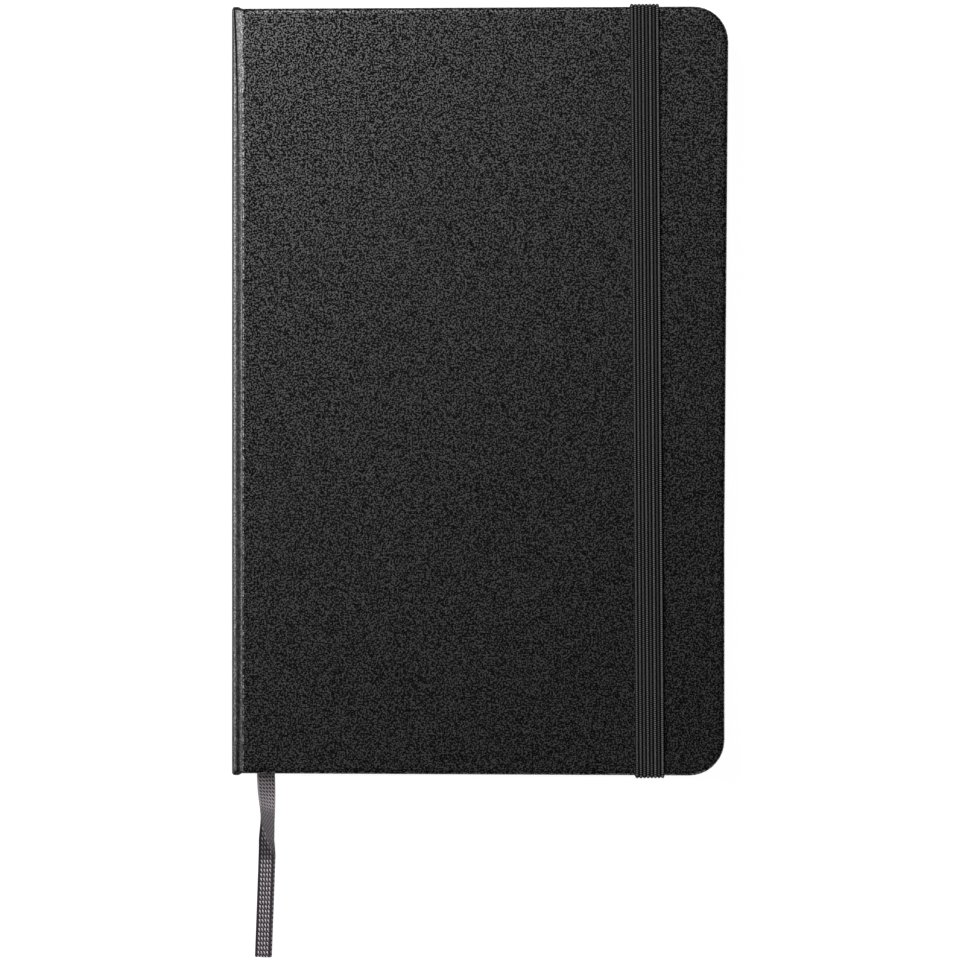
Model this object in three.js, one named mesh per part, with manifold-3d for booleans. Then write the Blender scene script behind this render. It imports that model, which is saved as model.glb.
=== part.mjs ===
// A pocket notebook: a hard case in leatherette, twelve sewn signatures, an elastic closure and a ribbon marker.
// Millimetres, +Z up. It lies closed on its back cover: spine at -X, fore-edge at +X, head at +Y, tail at -Y.
import * as THREE from "three";
import { mergeVertices } from "three/addons/utils/BufferGeometryUtils.js";
import Module from "manifold-3d";

const wasm = await Module();
wasm.setup();

// ---- Driving dimensions ----
const bookWidth = 90;
const bookHeight = 140;
const bookThickness = 13;
const coverThickness = 2;
const cornerRadius = 6.5; // of the covers, at the fore-edge
const spineCornerRadius = 0.8;
const fit = 0.03; // clearance between glued pieces
const arcSteps = 5; // half the segments of a rounded corner in plan
const smallArcSteps = 1; // the same, of a small rounding along an edge

// The case: a wrap over card, turned in round the edges. Depths are measured in from a cover's outer face.
const wrapThickness = 0.35;
const wrapRounding = 0.4;
const boardDepth = [wrapThickness + fit, 1.62];
const turnInDepth = [1.65, 1.83];
const turnInWidth = 12;
const pasteDownDepth = [1.85, coverThickness];
const pasteDownMargin = 2.6;

// The joints: each cover turns about an axis this far inside the case's outer faces.
const hingeInset = 0.75;
const hingeGap = 0.15;
const coverSwing = 1.45; // nothing on the spine comes nearer the axis than this, except the wrap
const spineWrapHeight = bookHeight + 0.4;
const spineTurnInWidth = 10;
const spineCardThickness = 0.36;
const spineFlange = [0.05, 0.25]; // of the turned-in wrap, measured from the axis

// The text block.
const blockGap = 0.8; // from the axis to the folds of the signatures
const blockForeEdge = 42.3;
const blockHeight = 134.6;
const pageCornerRadius = 4.6;
const signatureCount = 12;
const signatureGap = 0.02;
const foldRounding = 0.22;
const stationCount = 5;
const stationPitch = 26;
const kerfDepth = 0.5;
const kerfWidth = 0.7;
const threadRadius = 0.2;
const liningThickness = 0.3;

// The pocket inside the back cover.
const pocketSpineEdge = -32;
const pocketForeEdge = 40;
const pocketHeight = 132;
const pocketCornerRadius = 3.5;
const gussetThickness = 0.21;
const gussetWidth = 6;
const panelThickness = 0.2;
const gluedStripWidth = 4;

// The elastic closure.
const bandWidth = 5.3;
const bandThickness = 0.75;
const bandCentre = 30.8;
const bandSlant = 1 / bookHeight; // its middle moves toward the fore-edge by this much per millimetre down
const bandStand = 0.05; // between the band and what it lies on
const bandRounding = 0.7;
const slitEdge = 62; // half the distance between the two slits' far sides
const tabLength = 11;
const tabThickness = 0.25;
const channelDepth = 0.85;
const channelMargin = 0.4;

// The ribbon marker.
const ribbonWidth = 3.3;
const ribbonThickness = 0.26;
const ribbonMargin = 0.25;
const ribbonX = -38.7;
const ribbonTurn = 60; // where it bends from the spine's head to run down the page
const ribbonBreak = -60; // the free length starts here, between the pages
// The free length's own route: out between the pages, down to the table and along it to its bare end.
const ribbonTailRoute = [
  [-38.74, -60.3, 6.58],
  [-38.7, -64, 6.58],
  [-38.7, -67.5, 6.56],
  [-38.69, -70, 6.4],
  [-38.66, -72, 5.95],
  [-38.6, -74, 5.1],
  [-38.54, -76, 4.0],
  [-38.5, -78, 2.85],
  [-38.52, -80, 1.85],
  [-38.56, -82, 1.2],
  [-38.6, -84, 0.88],
  [-38.66, -86, 0.75],
  [-38.76, -89, 0.7],
  [-38.9, -93, 0.7],
  [-39.1, -98.4, 0.7],
  [-39.3, -103.9, 0.7],
];

// ---- Worked-out places ----
const spineX = -bookWidth / 2;
const foreX = bookWidth / 2;
const headY = bookHeight / 2;
const axisX = spineX + hingeInset;
const blockX = axisX + blockGap;
const pocketThickness = gussetThickness + 2 * fit + panelThickness;
const blockBottom = coverThickness + pocketThickness;
const blockTop = bookThickness - coverThickness;
const signaturePitch = (blockTop - blockBottom) / signatureCount;
const openAt = blockBottom + (signaturePitch * signatureCount) / 2; // the notebook opens at this height

// ---- Materials ----
const leatherette = new THREE.MeshStandardMaterial({ color: 0x1b1b1c, roughness: 0.5, metalness: 0 });
const card = new THREE.MeshStandardMaterial({ color: 0x8d8577, roughness: 0.9, metalness: 0 });
const paper = new THREE.MeshStandardMaterial({ color: 0xf1ead6, roughness: 0.85, metalness: 0 });
const gauze = new THREE.MeshStandardMaterial({ color: 0xd9d4c6, roughness: 0.95, metalness: 0 });
const elastic = new THREE.MeshStandardMaterial({ color: 0x141414, roughness: 0.8, metalness: 0 });
const ribbon = new THREE.MeshStandardMaterial({ color: 0x645c62, roughness: 0.6, metalness: 0 });
const thread = new THREE.MeshStandardMaterial({ color: 0xf4f2ea, roughness: 0.8, metalness: 0 });

// ---- Helpers ----
const notebook = new THREE.Group();

function addNode(name, geometry, material) {
  const mesh = new THREE.Mesh(geometry, material);
  mesh.name = name;
  notebook.add(mesh);
}

function solidOf(geometry) {
  const bare = geometry.clone();
  bare.deleteAttribute("normal");
  bare.deleteAttribute("uv");
  const merged = mergeVertices(bare, 1e-4);
  return new wasm.Manifold(
    new wasm.Mesh({
      numProp: 3,
      vertProperties: merged.attributes.position.array,
      triVerts: new Uint32Array(merged.index.array),
    }),
  );
}

function geometryOf(solid) {
  const mesh = solid.getMesh();
  const geometry = new THREE.BufferGeometry();
  geometry.setAttribute("position", new THREE.BufferAttribute(mesh.vertProperties, 3));
  geometry.setIndex(new THREE.BufferAttribute(mesh.triVerts, 1));
  return geometry;
}

// A plate of any outline in plan, from z0 to z1.
function plate(shape, z0, z1) {
  const geometry = new THREE.ExtrudeGeometry(shape, {
    depth: z1 - z0,
    bevelEnabled: false,
    curveSegments: arcSteps,
  });
  return geometry.translate(0, 0, z0);
}

function block(x0, x1, y0, y1, z0, z1) {
  const geometry = new THREE.BoxGeometry(x1 - x0, y1 - y0, z1 - z0);
  return geometry.translate((x0 + x1) / 2, (y0 + y1) / 2, (z0 + z1) / 2);
}

// A rectangle in plan with one radius at the spine side and another at the fore-edge.
function outline(x0, x1, halfHeight, spineRadius, foreRadius) {
  const shape = new THREE.Shape();
  shape.moveTo(x0 + spineRadius, -halfHeight);
  shape.lineTo(x1 - foreRadius, -halfHeight);
  shape.absarc(x1 - foreRadius, -halfHeight + foreRadius, foreRadius, -Math.PI / 2, 0, false);
  shape.absarc(x1 - foreRadius, halfHeight - foreRadius, foreRadius, 0, Math.PI / 2, false);
  shape.absarc(x0 + spineRadius, halfHeight - spineRadius, spineRadius, Math.PI / 2, Math.PI, false);
  shape.absarc(x0 + spineRadius, -halfHeight + spineRadius, spineRadius, Math.PI, 1.5 * Math.PI, false);
  return shape;
}

// A profile drawn across the book (x, z), carried from y0 to y1.
function carriedAlongY(shape, y0, y1) {
  const geometry = new THREE.ExtrudeGeometry(shape, {
    depth: y1 - y0,
    bevelEnabled: false,
    curveSegments: smallArcSteps,
  });
  geometry.rotateX(Math.PI / 2);
  return geometry.translate(0, y1, 0);
}

// Heights of a layer of a cover, given its depths from that cover's outer face.
function layer(isFront, depths) {
  const [shallow, deep] = depths;
  return isFront ? [bookThickness - deep, bookThickness - shallow] : [shallow, deep];
}

// ---- The case ----
const coverSpineEdge = axisX + hingeGap;

function coverOutline(inset, spineReach) {
  return outline(
    coverSpineEdge - spineReach,
    foreX - inset,
    headY - inset,
    spineCornerRadius,
    Math.max(cornerRadius - inset, spineCornerRadius),
  );
}

// The wrap: a tray with rounded edges, open at the joint, with its edges turned in over the board.
function coverWrap(isFront) {
  const rounded = new THREE.ExtrudeGeometry(coverOutline(wrapRounding, -wrapRounding), {
    depth: 2 * coverThickness,
    bevelThickness: wrapRounding,
    bevelSize: wrapRounding,
    bevelSegments: 2,
    curveSegments: arcSteps,
  });
  const lift = isFront ? bookThickness - 2 * coverThickness - wrapRounding : wrapRounding;
  rounded.translate(0, 0, lift);
  const wide = bookWidth;
  const [bottom, top] = layer(isFront, [0, turnInDepth[1]]);
  const whole = solidOf(rounded).intersect(solidOf(block(-wide, wide, -wide, wide, bottom, top)));
  const boardHole = plate(coverOutline(wrapThickness, 5), ...layer(isFront, [wrapThickness, turnInDepth[0]]));
  const window = plate(
    coverOutline(wrapThickness + turnInWidth, 5),
    ...layer(isFront, [turnInDepth[0] - fit, coverThickness]),
  );
  return whole.subtract(solidOf(boardHole)).subtract(solidOf(window));
}

function coverBoard(isFront) {
  return solidOf(plate(coverOutline(wrapThickness + fit, -fit), ...layer(isFront, boardDepth)));
}

function pasteDown(isFront) {
  const shape = outline(
    coverSpineEdge + fit,
    foreX - pasteDownMargin,
    headY - pasteDownMargin,
    spineCornerRadius,
    cornerRadius - pasteDownMargin,
  );
  return plate(shape, ...layer(isFront, pasteDownDepth));
}

// Where the band lies on, passes through and is glued inside the back cover, at the head (+1) or the tail (-1).
function bandCut(end) {
  const centre = bandCentre - end * headY * bandSlant;
  const x0 = centre - bandWidth / 2 - channelMargin;
  const x1 = centre + bandWidth / 2 + channelMargin;
  const span = (a, b) => [Math.min(end * a, end * b), Math.max(end * a, end * b)];
  const slitInside = slitEdge - bandThickness - channelMargin;
  const channel = block(x0, x1, ...span(slitInside, headY + 1), -1, channelDepth);
  const slit = block(x0, x1, ...span(slitInside, slitEdge + fit), 0, turnInDepth[0] - fit);
  const tab = block(
    x0,
    x1,
    ...span(slitInside - tabLength - channelMargin, slitEdge + fit),
    boardDepth[1] - tabThickness - 3 * fit,
    turnInDepth[0] - fit,
  );
  return solidOf(channel).add(solidOf(slit)).add(solidOf(tab));
}

const bandCuts = bandCut(1).add(bandCut(-1));
addNode("front_cover_wrap", geometryOf(coverWrap(true)), leatherette);
addNode("front_board", geometryOf(coverBoard(true)), card);
addNode("front_endpaper", pasteDown(true), paper);
addNode("back_cover_wrap", geometryOf(coverWrap(false).subtract(bandCuts)), leatherette);
addNode("back_board", geometryOf(coverBoard(false).subtract(bandCuts)), card);
addNode("rear_endpaper", pasteDown(false), paper);

// ---- The spine ----
function spineWrap() {
  const halfHeight = spineWrapHeight / 2;
  const z0 = hingeInset + hingeGap;
  const z1 = bookThickness - z0;
  const r = wrapThickness * 0.8;
  const section = new THREE.Shape();
  section.moveTo(spineX + wrapThickness, z0);
  section.lineTo(spineX + wrapThickness, z1);
  section.lineTo(spineX + r, z1);
  section.absarc(spineX + r, z1 - r, r, Math.PI / 2, Math.PI, false);
  section.absarc(spineX + r, z0 + r, r, Math.PI, 1.5 * Math.PI, false);
  const strip = carriedAlongY(section, -halfHeight, halfHeight);
  const lowest = hingeInset + coverSwing;
  const highest = bookThickness - lowest;
  const outside = axisX + spineFlange[1];
  let wrap = solidOf(strip);
  for (const end of [-1, 1]) {
    const y = [end * (halfHeight - spineTurnInWidth), end * halfHeight].sort((a, b) => a - b);
    const wall = [end * (halfHeight - wrapThickness), end * halfHeight].sort((a, b) => a - b);
    wrap = wrap
      .add(solidOf(block(axisX + spineFlange[0], outside, ...y, lowest, highest)))
      .add(solidOf(block(spineX + wrapThickness / 2, outside, ...wall, lowest, highest)));
  }
  return wrap;
}

function spineCard() {
  const x0 = spineX + wrapThickness + fit;
  const halfHeight = spineWrapHeight / 2 - wrapThickness - fit;
  const lowest = hingeInset + coverSwing;
  return block(x0, x0 + spineCardThickness, -halfHeight, halfHeight, lowest, bookThickness - lowest);
}

addNode("spine_wrap", geometryOf(spineWrap()), leatherette);
addNode("spine_card", spineCard(), card);
addNode(
  "spine_lining",
  block(
    blockX - fit - liningThickness,
    blockX - fit,
    -blockHeight / 2 + 1,
    blockHeight / 2 - 1,
    blockBottom,
    blockTop,
  ),
  gauze,
);

// ---- The text block ----
function stationY(index) {
  return (index - (stationCount - 1) / 2) * stationPitch;
}

// A leaf's outline in plan, with a notch at the fold for each sewing station.
function leafOutline() {
  const halfHeight = blockHeight / 2;
  const r = pageCornerRadius;
  const shape = new THREE.Shape();
  shape.moveTo(blockX, -halfHeight);
  shape.lineTo(blockForeEdge - r, -halfHeight);
  shape.absarc(blockForeEdge - r, -halfHeight + r, r, -Math.PI / 2, 0, false);
  shape.absarc(blockForeEdge - r, halfHeight - r, r, 0, Math.PI / 2, false);
  shape.lineTo(blockX, halfHeight);
  for (let index = stationCount - 1; index >= 0; index--) {
    const y = stationY(index);
    shape.lineTo(blockX, y + kerfWidth / 2);
    shape.lineTo(blockX + kerfDepth, y + kerfWidth / 2);
    shape.lineTo(blockX + kerfDepth, y - kerfWidth / 2);
    shape.lineTo(blockX, y - kerfWidth / 2);
  }
  return shape;
}

// Across the book, a signature is a slab with a rounded fold.
function foldSection(z0, z1) {
  const far = blockForeEdge + 1;
  const r = foldRounding;
  const section = new THREE.Shape();
  section.moveTo(far, z0);
  section.lineTo(far, z1);
  section.lineTo(blockX + r, z1);
  section.absarc(blockX + r, z1 - r, r, Math.PI / 2, Math.PI, false);
  section.absarc(blockX + r, z0 + r, r, Math.PI, 1.5 * Math.PI, false);
  return section;
}

// The ribbon's way between the pages: from the spine's head across to its line, then down the page.
function ribbonOutline(margin, tailY) {
  const half = ribbonWidth / 2 + margin;
  const top = blockHeight / 2 - 1 + margin;
  const left = blockX + foldRounding - margin;
  const shape = new THREE.Shape();
  shape.moveTo(ribbonX - half, tailY);
  shape.lineTo(ribbonX + half, tailY);
  shape.lineTo(ribbonX + half, ribbonTurn);
  shape.lineTo(left + 2 * half, top);
  shape.lineTo(left, top);
  shape.lineTo(ribbonX - half, ribbonTurn);
  return shape;
}

function signature(number) {
  const z1 = blockTop - (number - 1) * signaturePitch - signatureGap / 2;
  const z0 = z1 - signaturePitch + signatureGap;
  const leaves = solidOf(plate(leafOutline(), z0, z1));
  const half = blockHeight / 2;
  const folded = leaves.intersect(solidOf(carriedAlongY(foldSection(z0, z1), -half - 1, half + 1)));
  if (number !== signatureCount / 2 + 1) return folded;
  const groove = plate(ribbonOutline(ribbonMargin, -bookHeight), z1 - ribbonThickness - 2 * fit, z1 + 1);
  return folded.subtract(solidOf(groove));
}

for (let number = 1; number <= signatureCount; number++) {
  const label = String(number).padStart(2, "0");
  addNode(`signature_${label}`, geometryOf(signature(number)), paper);
}

for (let index = 0; index < stationCount; index++) {
  const length = signaturePitch * (signatureCount - 1);
  const strand = new THREE.CylinderGeometry(threadRadius, threadRadius, length, 8);
  strand.rotateX(Math.PI / 2);
  strand.translate(blockX + threadRadius + fit, stationY(index), (blockBottom + blockTop) / 2);
  addNode(`sewing_thread_${index + 1}`, strand, thread);
}

// ---- The pocket ----
function pocketPanel() {
  const shape = outline(
    pocketSpineEdge,
    pocketForeEdge,
    pocketHeight / 2,
    spineCornerRadius,
    pocketCornerRadius,
  );
  const bottom = coverThickness + gussetThickness + fit;
  const panel = solidOf(plate(shape, bottom, bottom + panelThickness));
  const reach = pocketHeight / 2 - gussetWidth - 2;
  const x0 = pocketForeEdge - gluedStripWidth;
  return panel.add(solidOf(block(x0, pocketForeEdge, -reach, reach, coverThickness + fit, bottom + fit)));
}

addNode("pocket_panel", geometryOf(pocketPanel()), paper);
for (const [name, end] of [["head", 1], ["tail", -1]]) {
  const edge = end * (pocketHeight / 2 - 1);
  const y = [edge, edge - end * gussetWidth].sort((a, b) => a - b);
  const x1 = pocketForeEdge - pocketCornerRadius;
  const top = coverThickness + gussetThickness;
  addNode(`pocket_gusset_${name}`, block(pocketSpineEdge, x1, ...y, coverThickness + fit, top), gauze);
}

// ---- The elastic closure ----
// Drawn along the book (y, z): a loop over head, front and tail, with both ends through the slits and glued inside.
function bandSection() {
  const inY = headY + bandStand;
  const outY = inY + bandThickness;
  const inZ = bookThickness + bandStand;
  const outZ = inZ + bandThickness;
  const r = bandRounding;
  const underside = bandStand;
  const shelf = channelDepth - bandStand;
  const tabTop = boardDepth[1] - fit;
  const tabBottom = tabTop - tabThickness;
  const slitInner = slitEdge - bandThickness;
  const section = new THREE.Shape();
  section.moveTo(slitInner - tabLength, tabTop);
  section.lineTo(slitInner - tabLength, tabBottom);
  section.lineTo(slitInner, tabBottom);
  section.lineTo(slitInner, underside);
  section.absarc(outY - r, underside + r, r, -Math.PI / 2, 0, false);
  section.absarc(outY - r, outZ - r, r, 0, Math.PI / 2, false);
  section.absarc(-outY + r, outZ - r, r, Math.PI / 2, Math.PI, false);
  section.absarc(-outY + r, underside + r, r, Math.PI, 1.5 * Math.PI, false);
  section.lineTo(-slitInner, underside);
  section.lineTo(-slitInner, tabBottom);
  section.lineTo(-slitInner + tabLength, tabBottom);
  section.lineTo(-slitInner + tabLength, tabTop);
  section.lineTo(-slitEdge, tabTop);
  section.lineTo(-slitEdge, shelf);
  section.lineTo(-inY, shelf);
  section.lineTo(-inY, inZ);
  section.lineTo(inY, inZ);
  section.lineTo(inY, shelf);
  section.lineTo(slitEdge, shelf);
  section.lineTo(slitEdge, tabTop);
  return section;
}

function elasticClosure() {
  const loop = new THREE.ExtrudeGeometry(bandSection(), {
    depth: bandWidth,
    bevelEnabled: false,
    curveSegments: 2 * smallArcSteps,
  });
  const upright = new THREE.Matrix4().makeBasis(
    new THREE.Vector3(0, 1, 0),
    new THREE.Vector3(0, 0, 1),
    new THREE.Vector3(1, 0, 0),
  );
  const slant = new THREE.Matrix4().makeShear(0, 0, -bandSlant, 0, 0, 0);
  loop.applyMatrix4(upright);
  loop.translate(bandCentre - bandWidth / 2, 0, 0);
  return loop.applyMatrix4(slant);
}

addNode("elastic_closure", elasticClosure(), elastic);

// ---- The ribbon marker ----
function ribbonBetweenPages() {
  const top = openAt - signatureGap;
  return plate(ribbonOutline(0, ribbonBreak), top - ribbonThickness, top);
}

function ribbonTail() {
  const points = ribbonTailRoute.map((point) => new THREE.Vector3(...point));
  const halfWidth = ribbonWidth / 2;
  const halfThickness = ribbonThickness / 2;
  const shoulder = halfWidth - halfThickness;
  const section = new THREE.Shape([
    new THREE.Vector2(-halfThickness, -shoulder),
    new THREE.Vector2(-halfThickness / 2, -halfWidth),
    new THREE.Vector2(halfThickness / 2, -halfWidth),
    new THREE.Vector2(halfThickness, -shoulder),
    new THREE.Vector2(halfThickness, shoulder),
    new THREE.Vector2(halfThickness / 2, halfWidth),
    new THREE.Vector2(-halfThickness / 2, halfWidth),
    new THREE.Vector2(-halfThickness, shoulder),
  ]);
  return new THREE.ExtrudeGeometry(section, {
    steps: 24,
    bevelEnabled: false,
    extrudePath: new THREE.CatmullRomCurve3(points),
  });
}

addNode("ribbon_marker", ribbonBetweenPages(), ribbon);
addNode("ribbon_tail", ribbonTail(), ribbon);

export default notebook;
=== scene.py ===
import math
import random

import bmesh
import bpy
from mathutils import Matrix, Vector


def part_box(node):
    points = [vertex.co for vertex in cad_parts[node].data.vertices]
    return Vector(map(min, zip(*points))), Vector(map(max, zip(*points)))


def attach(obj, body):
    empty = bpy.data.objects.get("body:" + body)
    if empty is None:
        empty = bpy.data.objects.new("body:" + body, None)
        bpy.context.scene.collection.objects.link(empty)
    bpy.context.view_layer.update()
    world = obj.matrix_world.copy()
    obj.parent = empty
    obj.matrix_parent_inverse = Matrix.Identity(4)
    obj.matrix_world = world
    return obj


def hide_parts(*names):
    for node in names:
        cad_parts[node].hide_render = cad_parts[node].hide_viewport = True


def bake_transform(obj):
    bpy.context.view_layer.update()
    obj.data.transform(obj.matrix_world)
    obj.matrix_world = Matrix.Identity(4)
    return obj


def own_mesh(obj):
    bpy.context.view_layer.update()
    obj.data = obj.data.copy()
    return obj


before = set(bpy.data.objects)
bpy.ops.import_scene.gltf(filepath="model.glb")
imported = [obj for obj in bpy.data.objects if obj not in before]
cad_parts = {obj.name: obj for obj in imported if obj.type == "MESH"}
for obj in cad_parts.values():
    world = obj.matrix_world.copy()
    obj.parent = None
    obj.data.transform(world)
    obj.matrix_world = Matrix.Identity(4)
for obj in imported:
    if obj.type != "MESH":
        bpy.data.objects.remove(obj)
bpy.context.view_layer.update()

mm = 0.001  # lengths below are in millimetres, and become metres where a mesh is made


def boxOf(node):
    low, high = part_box(node)
    return low / mm, high / mm


coverHigh = boxOf("front_cover_wrap")[1]
bandLow, bandHigh = boxOf("elastic_closure")
firstLow, firstHigh = boxOf("signature_01")
lastLow = boxOf("signature_12")[0]
foreX = coverHigh.x
headY = coverHigh.y
topZ = coverHigh.z
spineX = boxOf("spine_wrap")[0].x
foldX = firstLow.x
leafForeX = firstHigh.x
leafHalf = firstHigh.y
signatureCount = 12
signaturePitch = (firstHigh.z - lastLow.z) / signatureCount
openZ = (firstHigh.z + lastLow.z) / 2  # the block parts here when the notebook opens


def lerp(a, b, t):
    return a + (b - a) * t


def smooth(t):
    t = min(max(t, 0), 1)
    return t * t * (3 - 2 * t)


def linkObject(name, data):
    made = bpy.data.objects.new(name, data)
    bpy.context.scene.collection.objects.link(made)
    return made


cameraView = {
    "lens": 400,
    "sensor": 36,
    "aimX": 0.24,
    "aimY": -16.27,
    "distance": 1949.6,  # from the front cover
    "reach": 50,  # in metres
}


def makeCamera():
    data = bpy.data.cameras.new("camera")
    data.lens = cameraView["lens"]
    data.sensor_width = cameraView["sensor"]
    data.clip_end = cameraView["reach"]
    camera = linkObject("camera", data)
    place = Vector((cameraView["aimX"], cameraView["aimY"], topZ + cameraView["distance"]))
    camera.location = place * mm
    bpy.context.scene.camera = camera


makeCamera()
print("camera set")


# A wire is one output socket. Sums and products of wires add Math nodes.
class Wire:
    def __init__(self, graph, socket):
        self.graph = graph
        self.socket = socket

    def math(self, operation, *values):
        return self.graph.add("ShaderNodeMath", {"operation": operation}, values)

    def __add__(self, other):
        return self.math("ADD", self, other)

    def __radd__(self, other):
        return self.math("ADD", other, self)

    def __sub__(self, other):
        return self.math("SUBTRACT", self, other)

    def __rsub__(self, other):
        return self.math("SUBTRACT", other, self)

    def __mul__(self, other):
        return self.math("MULTIPLY", self, other)

    def __rmul__(self, other):
        return self.math("MULTIPLY", other, self)

    def __truediv__(self, other):
        return self.math("DIVIDE", self, other)

    def __rtruediv__(self, other):
        return self.math("DIVIDE", other, self)

    def sine(self):
        return self.math("SINE", self)

    def size(self):
        return self.math("ABSOLUTE", self)

    def fraction(self):
        return self.math("FRACT", self)

    # 0 below low, 1 above high, and a smooth step between; low may be above high.
    def step(self, low, high):
        settings = {"interpolation_type": "SMOOTHSTEP"}
        if low < high:
            return self.graph.add("ShaderNodeMapRange", settings, [self, low, high, 0, 1])
        return self.graph.add("ShaderNodeMapRange", settings, [self, high, low, 1, 0])


class Graph:
    def __init__(self, tree):
        self.tree = tree

    # Settings come first, then values or wires by socket name or number.
    def add(self, kind, settings=None, sockets=(), output=0):
        node = self.tree.nodes.new(kind)
        for key, value in (settings or {}).items():
            setattr(node, key, value)
        pairs = sockets.items() if isinstance(sockets, dict) else enumerate(sockets)
        for key, value in pairs:
            if isinstance(value, Wire):
                self.tree.links.new(value.socket, node.inputs[key])
            else:
                node.inputs[key].default_value = value
        return Wire(self, node.outputs[output]) if node.outputs else None

    def store(self, geometry, name, value, domain="POINT"):
        sockets = {"Geometry": geometry, "Name": name, "Value": value}
        return self.add("GeometryNodeStoreNamedAttribute", {"data_type": "FLOAT", "domain": domain}, sockets)

    def vector(self, **parts):
        return self.add("ShaderNodeCombineXYZ", None, parts)

    def line(self, count, start, offset):
        sockets = {"Count": count, "Start Location": start, "Offset": offset}
        return self.add("GeometryNodeMeshLine", {"mode": "OFFSET"}, sockets)

    def finishGeometry(self, geometry, material):
        plain = self.add("GeometryNodeRealizeInstances", None, {"Geometry": geometry})
        painted = self.add("GeometryNodeSetMaterial", None, {"Geometry": plain, "Material": material})
        self.add("NodeGroupOutput", None, {"Geometry": painted})
        return self


class Material(Graph):
    def __init__(self, name):
        self.material = bpy.data.materials.new(name)
        self.material.use_nodes = True
        super().__init__(self.material.node_tree)
        self.tree.nodes.clear()

    # The object's own coordinates in millimetres, as a vector.
    def place(self):
        place = self.add("ShaderNodeTexCoord", output="Object")
        return self.add("ShaderNodeVectorMath", {"operation": "SCALE"}, {0: place, "Scale": 1 / mm})

    # A value that the mesh carries.
    def attribute(self, name):
        return self.add("ShaderNodeAttribute", {"attribute_name": name}, output="Fac")

    def stretched(self, place, scale):
        return self.add("ShaderNodeVectorMath", {"operation": "MULTIPLY"}, [place, scale])

    def axes(self, place):
        return [self.add("ShaderNodeSeparateXYZ", None, [place], axis) for axis in range(3)]

    # Grey noise with features about 1 / scale millimetres across.
    def noise(self, place, scale, detail=2, roughness=0.5, distortion=0):
        sockets = {
            "Vector": place,
            "Scale": scale,
            "Detail": detail,
            "Roughness": roughness,
            "Distortion": distortion,
        }
        return self.add("ShaderNodeTexNoise", None, sockets)

    def mixColours(self, share, first, second):
        sockets = {0: share, 6: first, 7: second}
        return self.add("ShaderNodeMix", {"data_type": "RGBA"}, sockets, 2)

    def bump(self, height, depth, strength=1, before=None):
        sockets = {"Height": height, "Distance": depth * mm, "Strength": strength}
        if before:
            sockets["Normal"] = before
        return self.add("ShaderNodeBump", None, sockets)

    def finish(self, sockets):
        shader = self.add("ShaderNodeBsdfPrincipled", None, sockets)
        self.add("ShaderNodeOutputMaterial", None, {"Surface": shader})
        return self.material

    def finishPlain(self, share, look, normal):
        colour = self.mixColours(share, look["dark"], look["pale"])
        return self.finish({"Base Color": colour, "Roughness": look["roughness"], "Normal": normal})


def sharpened(piece, angle=40):
    piece.data.shade_smooth()
    piece.data.set_sharp_from_angle(angle=math.radians(angle))
    return piece


def meshPiece(name, points, faces, material, sharpAngle=40):
    mesh = bpy.data.meshes.new(name)
    mesh.from_pydata([Vector(point) * mm for point in points], [], faces)
    mesh.materials.append(material)
    return sharpened(linkObject(name, mesh), sharpAngle)


def storeValues(piece, name, values):
    piece.data.attributes.new(name, "FLOAT", "POINT").data.foreach_set("value", values)


# Turns a host and its modifiers into a plain mesh of its own, and removes the host.
def baked(name, host, material=None):
    graph = bpy.context.evaluated_depsgraph_get()
    mesh = bpy.data.meshes.new_from_object(host.evaluated_get(graph))
    mesh.name = name
    bpy.data.objects.remove(host)
    if material:
        mesh.materials.clear()
        mesh.materials.append(material)
    return linkObject(name, mesh)


def geometryTree(name, inputs):
    tree = bpy.data.node_groups.new(name, "GeometryNodeTree")
    for label, kind in inputs.items():
        tree.interface.new_socket(label, in_out="INPUT", socket_type=kind)
    tree.interface.new_socket("Geometry", in_out="OUTPUT", socket_type="NodeSocketGeometry")
    graph = Graph(tree)
    source = tree.nodes.new("NodeGroupInput")
    wires = {socket.name: Wire(graph, socket) for socket in source.outputs if socket.name}
    return graph, wires


def useTree(host, graph, values):
    modifier = host.modifiers.new(graph.tree.name, "NODES")
    modifier.node_group = graph.tree
    for item in graph.tree.interface.items_tree:
        if item.in_out == "INPUT" and item.name in values:
            modifier[item.identifier] = values[item.name]


# The two sides of a thin sheet whose middle follows a path of flat points.
def sidesOf(path, thickness):
    sides = []
    for index, (a, b) in enumerate(path):
        before = path[max(index - 1, 0)]
        after = path[min(index + 1, len(path) - 1)]
        along = Vector((after[0] - before[0], after[1] - before[1])).normalized()
        half = thickness / 2
        sides.append(((a - along.y * half, b + along.x * half), (a + along.y * half, b - along.x * half)))
    return sides


# Walls of a closed strip: one ring of four corners for each station, and a cap at both ends.
def stripFaces(start, stations, corners=4):
    faces = [[start + corner for corner in range(corners)]]
    for station in range(stations - 1):
        first = start + station * corners
        for corner in range(corners):
            after = (corner + 1) % corners
            faces.append([first + corner, first + corners + corner, first + corners + after, first + after])
    last = start + (stations - 1) * corners
    faces.append([last + corner for corner in reversed(range(corners))])
    return faces


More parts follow.
